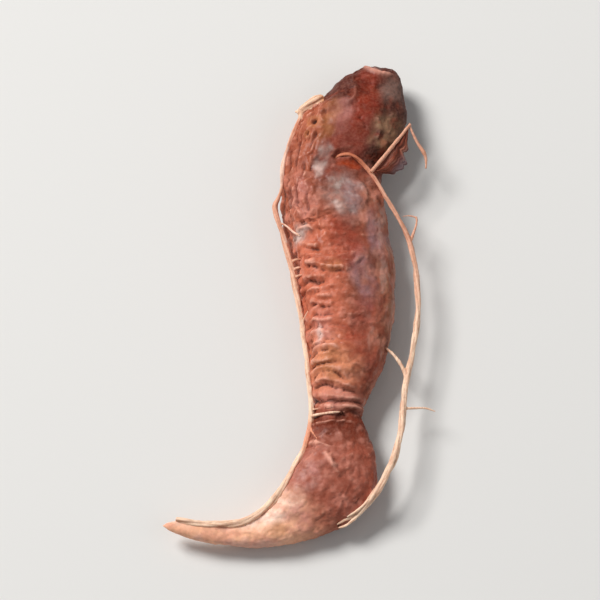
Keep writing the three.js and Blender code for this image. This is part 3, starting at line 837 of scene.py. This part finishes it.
pulp_finish, tree, shader = new_material(
    "dried sticky fruit pulp",
    IOR=1.46,
    Specular_IOR_Level=0.2,
    Subsurface_Weight=0.05,
    Subsurface_Radius=FLESH_GLOW,
    Subsurface_Scale=0.5 * MM,
)
place = add_node(tree, "ShaderNodeTexCoord").outputs["Object"]
patterns = []
for size, detail, low, high in (  # size in mm, octaves, and the span of the noise that is used
    (1.2, 3, 0.40, 0.62),  # dark blots
    (0.45, 2, 0.40, 0.60),  # pale specks
    (5, 3, 0.42, 0.60),  # damp spots
):
    scale = 1 / (size * MM)
    soft = add_node(tree, "ShaderNodeTexNoise", Vector=place, Scale=scale, Detail=detail, Roughness=0.55)
    patterns.append(add_node(tree, "ShaderNodeMapRange", SOFT_STEP, Value=soft, From_Min=low, From_Max=high))
blots, specks, damp = patterns
painted = add_node(tree, "ShaderNodeAttribute", PAINTED)
base = tinted(tree, painted, blots, (0, 1), (0.14, 0), "#4b1c10")
base = tinted(tree, base, specks, (0, 1), (0, 0.05), "#eaa78b")
gloss = add_node(tree, "ShaderNodeMapRange", SOFT_STEP, Value=damp, To_Min=0.62, To_Max=0.38)
bumps = add_node(tree, "ShaderNodeTexNoise", Vector=place, Scale=1 / (0.6 * MM), Detail=3, Roughness=0.55)
fine = add_node(tree, "ShaderNodeBump", Height=bumps, Strength=0.6, Distance=0.07 * MM)
tree.links.new(base, shader.inputs["Base Color"])
tree.links.new(gloss.outputs[0], shader.inputs["Roughness"])
tree.links.new(fine.outputs[0], shader.inputs["Normal"])
pulp.data.materials.append(pulp_finish)

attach(pulp, "root")
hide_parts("pulp")

# %% [markdown]
# ## Finish: strings
# A string is tough plant fibre. At the stem end it is tan, and towards the tail it has bleached to a
# pale cream, as the knob has. Where it touches the pulp it is stained reddish brown, but not on the
# tail. Its grooves are painted darker than its backs, as painted shade. It is drier than the pulp and hardly
# shines. Its finest fibres are thinner than 0.1 mm and would not show, so its streaks are drawn 0.3 mm wide.

# %% Finish: strings
STAIN_REACH = 0.6  # mm from the pulp over which a string is stained
FREE = 3  # mm: further from the pulp than this, a string's distance isn't measured

string_finish, tree, shader = new_material(
    "dried plant fibre",
    Roughness=0.62,
    IOR=1.45,
    Specular_IOR_Level=0.3,
    Subsurface_Weight=0.1,
    Subsurface_Radius=(1.0, 0.6, 0.35),
    Subsurface_Scale=0.4 * MM,
)
place = add_node(tree, "ShaderNodeTexCoord").outputs["Object"]
fibres = add_node(tree, "ShaderNodeAttribute", FIBRE_PLACE).outputs["Vector"]
streaks = add_node(tree, "ShaderNodeTexNoise", Vector=fibres, Scale=1 / 0.3, Detail=3)  # 0.3 mm wide
clouds = add_node(tree, "ShaderNodeTexNoise", Vector=place, Scale=1 / (2.5 * MM), Detail=3, Roughness=0.55)
painted = add_node(tree, "ShaderNodeAttribute", PAINTED)
base = tinted(tree, painted, streaks, (0.45, 0.65), (0, 0.42), "#b97350")
base = tinted(tree, base, clouds, (0.45, 0.65), (0, 0.25), "#d08d6a")
fine = add_node(tree, "ShaderNodeBump", Height=streaks, Strength=0.8, Distance=0.08 * MM)
tree.links.new(base, shader.inputs["Base Color"])
tree.links.new(fine.outputs[0], shader.inputs["Normal"])


def along_fibre(points, course):
    """Each point's place along the string, shortened to draw noise out, and beside and above its middle."""
    line, distances = smooth_line(course, 0.3)
    tree = kdtree.KDTree(len(line))
    for number, place in enumerate(line[:, :3]):
        tree.insert(place, number)
    tree.balance()
    nearest = np.array([tree.find(point)[1] for point in points])
    ways = directions(line[:, :3])[nearest]
    off = points - line[nearest, :3]
    beside = off[:, 0] * ways[:, 1] - off[:, 1] * ways[:, 0]
    return np.column_stack([STREAK * distances[nearest], beside, off[:, 2]])


def gap_to(surface, points):
    """How far each point is from a surface, in mm."""
    gaps = [surface.find_nearest(Vector(point) * MM, FREE * MM)[3] for point in points]
    return np.array([FREE if gap is None else gap / MM for gap in gaps])


pulp_skin = surface_of(pulp)
for string, node, course in (
    (left_string, "left_string", LEFT_STRING),
    (right_string, "right_string", RIGHT_STRING),
):
    string_points = points_of(string)
    give_coordinates(string, along_fibre(string_points, course))
    stained = 1 - step(gap_to(pulp_skin, string_points), 0.0, STAIN_REACH)
    back = standing_out(string, 0.35)
    back -= np.median(back)
    from_knob = np.linalg.norm(string_points - KNOB, axis=1)
    x, y = string_points[:, 0], string_points[:, 1]
    on_left = 1 - step(x, 4, 5)
    paint(string, [
        ("#e3a88c", np.ones(len(x))),
        ("#fcd8ba", 1 - step(y, -10, 16)),
        ("#f6d0ba", on_left * band(y, 23, 31, 2)),
        ("#a9472a", 0.6 * stained * step(y, -40, -34)),
        ("#e58f6c", 0.8 * on_left * band(y, -29, -24, 1.2)),
        ("#f3cdb8", on_left * band(y, 11.3, 15.2, 0.4) * step(x, -3.2, -2.6)),
        ("#f9d0b0", 1 - step(from_knob, 2.8, 4.0)),
        ("#cf8a5c", 0.8 * step(x, 3.2, 4.4) * step(y, 36, 38)),
        ("#c9704c", 0.7 * band(y, 24.5, 29, 1) * (1 - step(x, 11, 14)) * (1 - on_left)),
        # painted shade: the grooves between the fibres are darker
        ("#935a3c", 0.5 * step(-back, 0.0, 0.06)),
    ])
    string.data.materials.append(string_finish)
    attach(string, "root")
    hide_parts(node)

# %% [markdown]
# ## Finish: torn skin
# The flap is a scrap of the pulp's own skin, so it has the pulp's reddish brown, with dark and pale
# streaks along its fibres, and a lilac-grey edge where it has dried out thin.

# %% Finish: torn skin
flap_finish, tree, shader = new_material(
    "torn dried fruit skin",
    Roughness=0.55,
    IOR=1.46,
    Specular_IOR_Level=0.3,
    Subsurface_Weight=0.15,
    Subsurface_Radius=FLESH_GLOW,
    Subsurface_Scale=0.4 * MM,
)
fibres = add_node(tree, "ShaderNodeAttribute", FIBRE_PLACE).outputs["Vector"]
streaks = add_node(tree, "ShaderNodeTexNoise", Vector=fibres, Scale=1 / 0.5, Detail=3)  # 0.5 mm wide
painted = add_node(tree, "ShaderNodeAttribute", PAINTED)
base = tinted(tree, painted, streaks, (0.42, 0.62), (0, 0.7), "#4e1f13")
base = tinted(tree, base, streaks, (0.48, 0.30), (0, 0.6), "#c08a74")
fine = add_node(tree, "ShaderNodeBump", Height=streaks, Strength=0.7, Distance=0.12 * MM)
tree.links.new(base, shader.inputs["Base Color"])
tree.links.new(fine.outputs[0], shader.inputs["Normal"])

half_way = len(long_side) // 2
outwards = np.array((ways[half_way, 1], -ways[half_way, 0]))
from_prong = (points_of(flap)[:, :2] - long_side[half_way, :2]) @ outwards / FLAP_WIDTH
paint(flap, [("#8c452f", np.ones(len(from_prong))), ("#8f7478", step(from_prong, 0.4, 0.75))])
flap.data.materials.append(flap_finish)
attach(flap, "root")
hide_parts("right_string")

# %% [markdown]
# ## Floor and light
# The pod lies on a plain pale floor. A large soft light from the upper left does most of the work, as
# in the photograph. A weak one from the right and an even pale sky fill the shadows.

# %% Floor and light
FLOOR = 6  # m, its side
KEY_PLACE = Vector((-0.84, 0.66, 1.14))  # m, as the other places and sizes of lights
FILL_PLACE = Vector((1.2, -0.45, 1.05))
SKY_STRENGTH = 0.25

bpy.ops.mesh.primitive_plane_add(size=FLOOR, location=(0, 0, 0))
floor = bpy.context.object
floor.name = "floor"
floor_finish, _, _ = new_material("plain pale floor", Base_Color=colour("#e0deda"), Roughness=0.9)
floor.data.materials.append(floor_finish)


def soft_light(name, place, size, power):
    """A square soft light that faces the pod, with its side in metres and its power in watts."""
    bpy.ops.object.light_add(type="AREA", location=place)
    light = bpy.context.object
    light.name = name
    light.rotation_euler = (middle - place).to_track_quat("-Z", "Y").to_euler()
    light.data.size = size
    light.data.energy = power


soft_light("key light", KEY_PLACE, size=0.6, power=27)
soft_light("fill light", FILL_PLACE, size=1.2, power=3)
world = bpy.data.worlds.new("pale sky")
bpy.context.scene.world = world
world.use_nodes = True
sky = world.node_tree.nodes["Background"]
sky.inputs["Color"].default_value = colour("#f2f4f8")
sky.inputs["Strength"].default_value = SKY_STRENGTH
bpy.context.scene.view_settings.view_transform = "Standard"
